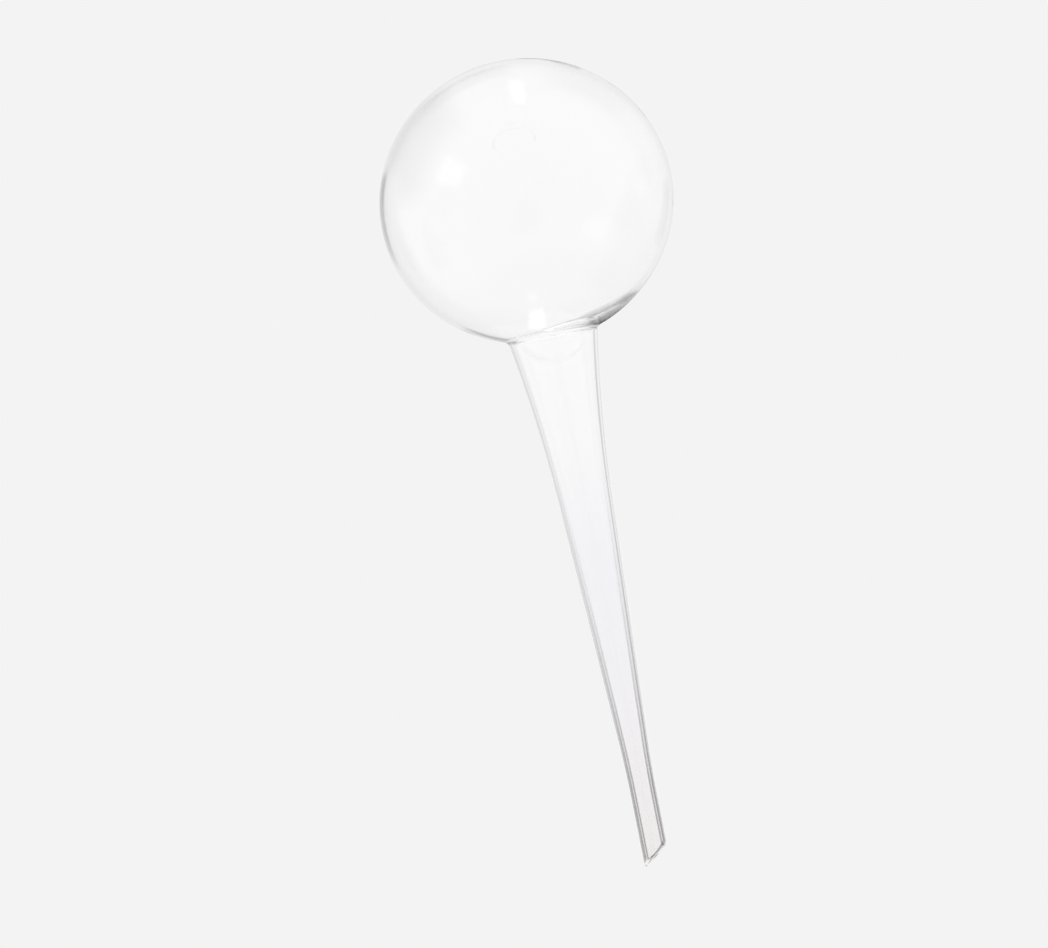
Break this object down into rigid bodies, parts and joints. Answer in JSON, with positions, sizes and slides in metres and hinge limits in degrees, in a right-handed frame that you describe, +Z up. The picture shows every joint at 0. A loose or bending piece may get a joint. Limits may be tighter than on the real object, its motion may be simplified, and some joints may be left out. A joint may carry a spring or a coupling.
{
  "type": "plant watering globe",
  "caption": "Clear blown glass globe on a long flared stem with a slanted open tip, which feeds water slowly into a pot's soil.",
  "frame": {"origin": "on the stem's axis, level with the lowest point of the slanted spout", "axes": "+Z up the stem's axis to the crown of the globe; the slanted mouth of the spout faces +X and down, so its longest side is at -X"},
  "size_m": [0.09, 0.09, 0.25],
  "materials": {
    "blown_glass": "clear, fire-polished",
    "seal_glass": "clear, melted smooth",
    "drawn_glass": "clear, drawn, with a melted lip"
  },
  "bodies": {
    "root": {"globe": "blown_glass", "neck_seal": "seal_glass", "stem": "drawn_glass"}
  },
  "joints": []
}
